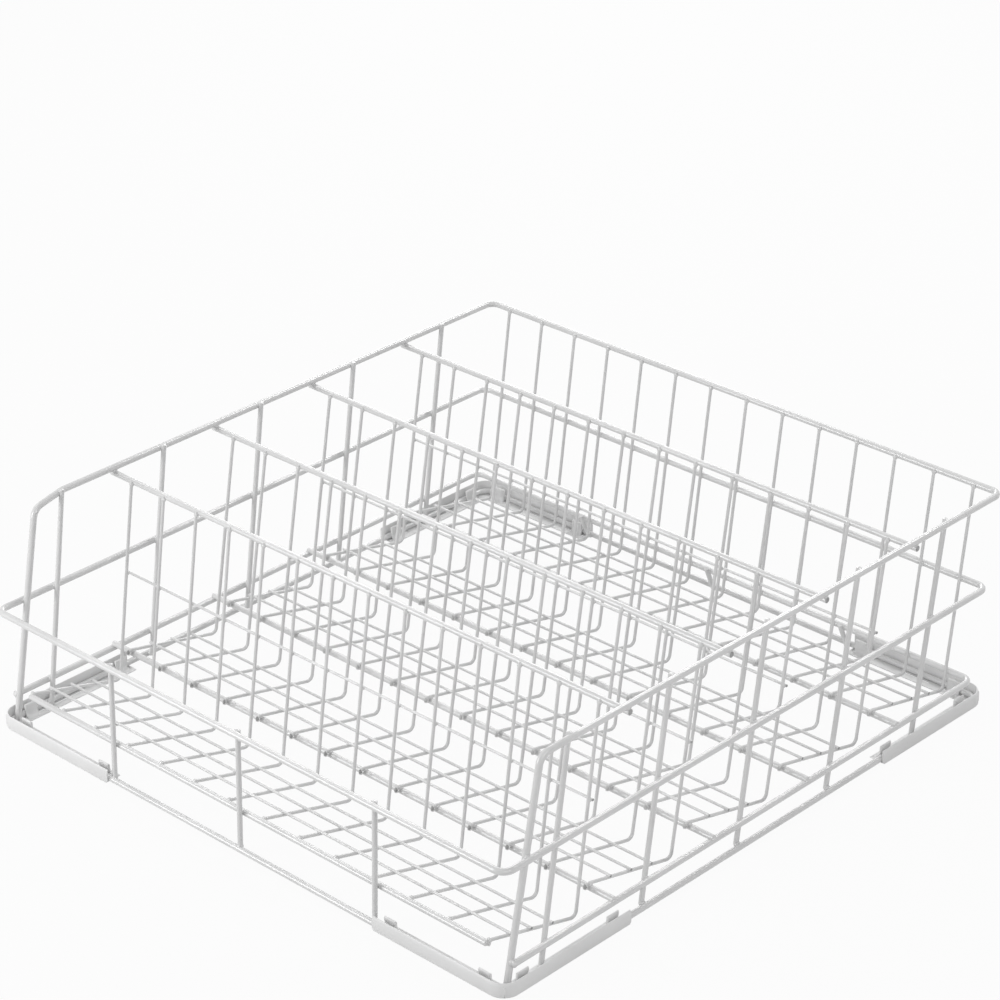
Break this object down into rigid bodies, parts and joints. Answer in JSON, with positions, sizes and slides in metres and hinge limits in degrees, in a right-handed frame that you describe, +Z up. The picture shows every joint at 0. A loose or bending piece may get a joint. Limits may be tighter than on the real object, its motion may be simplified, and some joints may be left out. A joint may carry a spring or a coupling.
{
  "type": "glass washer basket",
  "caption": "Open-fronted coated wire basket for a glass washer, with sloping glass rows between leaning wire fences, a raised rim and clip-on moulded corner guides.",
  "frame": {"origin": "on the floor plane, under the middle of the overall bounding box", "axes": "+Z up, the open front faces -Y, +X is to the right seen from the front"},
  "size_m": [0.5, 0.511, 0.1658],
  "materials": {
    "coated_wire": "satin nylon coating",
    "guide_plastic": "moulded, satin"
  },
  "bodies": {
    "root": {"back_post_1": "coated_wire", "back_post_2": "coated_wire", "back_post_3": "coated_wire", "base_ring": "coated_wire", "carrier_1": "coated_wire", "carrier_2": "coated_wire", "carrier_3": "coated_wire", "carrier_4": "coated_wire", "carrier_5": "coated_wire", "divider_1": "coated_wire", "divider_2": "coated_wire", "divider_3": "coated_wire", "divider_4": "coated_wire", "fence_wire_1": "coated_wire", "fence_wire_2": "coated_wire", "fence_wire_3": "coated_wire", "fence_wire_4": "coated_wire", "floor_wires_1": "coated_wire", "floor_wires_2": "coated_wire", "floor_wires_3": "coated_wire", "floor_wires_4": "coated_wire", "floor_wires_5": "coated_wire", "front_post_1": "coated_wire", "front_post_2": "coated_wire", "front_post_3": "coated_wire", "guide_back_left": "guide_plastic", "guide_back_right": "guide_plastic", "guide_front_left": "guide_plastic", "guide_front_right": "guide_plastic", "left_post_1": "coated_wire", "left_post_2": "coated_wire", "left_post_3": "coated_wire", "left_post_4": "coated_wire", "left_post_5": "coated_wire", "lower_rail": "coated_wire", "middle_ring": "coated_wire", "right_post_1": "coated_wire", "right_post_2": "coated_wire", "right_post_3": "coated_wire", "right_post_4": "coated_wire", "right_post_5": "coated_wire", "row_wires_1": "coated_wire", "row_wires_2": "coated_wire", "row_wires_3": "coated_wire", "row_wires_4": "coated_wire", "row_wires_5": "coated_wire", "top_rim": "coated_wire"}
  },
  "joints": []
}
